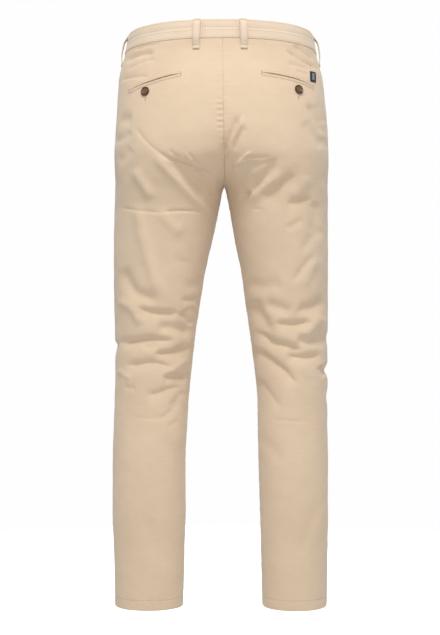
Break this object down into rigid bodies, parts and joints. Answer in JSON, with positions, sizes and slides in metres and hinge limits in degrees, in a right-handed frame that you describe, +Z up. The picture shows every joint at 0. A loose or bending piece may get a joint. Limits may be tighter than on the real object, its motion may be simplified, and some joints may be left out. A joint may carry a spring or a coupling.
{
  "type": "chino trousers",
  "caption": "Slim straight chino trousers, filled out as worn: hollow legs, two-tier waistband with belt loops, back welt pockets and slanted hip pockets.",
  "frame": {"origin": "the middle of the waist, on the mid-plane at the waistband's mid height at the sides, where the wearer holds the trousers up", "axes": "+Z up; the front faces -Y and the back +Y; the wearer's left leg is on +X"},
  "size_m": [0.3983, 0.264, 1.0611],
  "materials": {
    "twill": "beige cotton twill, matt",
    "waistband_twill": "beige cotton twill, pressed and stitched",
    "horn": "brown horn-look polyester",
    "woven_tab": "fine woven tape, dark with a pale middle"
  },
  "bodies": {
    "root": {"back_panel_left": "twill", "back_panel_right": "twill", "front_panel_left": "twill", "front_panel_right": "twill", "hip_facing_left": "twill", "hip_facing_right": "twill", "waistband_back_insert": "waistband_twill", "waistband_left": "waistband_twill", "waistband_right": "waistband_twill", "belt_loop_back_left": "waistband_twill", "belt_loop_back_right": "waistband_twill", "belt_loop_side_left": "waistband_twill", "belt_loop_side_right": "waistband_twill", "belt_loop_front_left": "waistband_twill", "belt_loop_front_right": "waistband_twill", "pocket_left_welt_upper": "twill", "pocket_left_welt_lower": "twill", "pocket_left_button": "horn", "pocket_right_welt_upper": "twill", "pocket_right_welt_lower": "twill", "pocket_right_button": "horn", "pocket_tab_right": "woven_tab", "waist_button": "horn"}
  },
  "joints": []
}
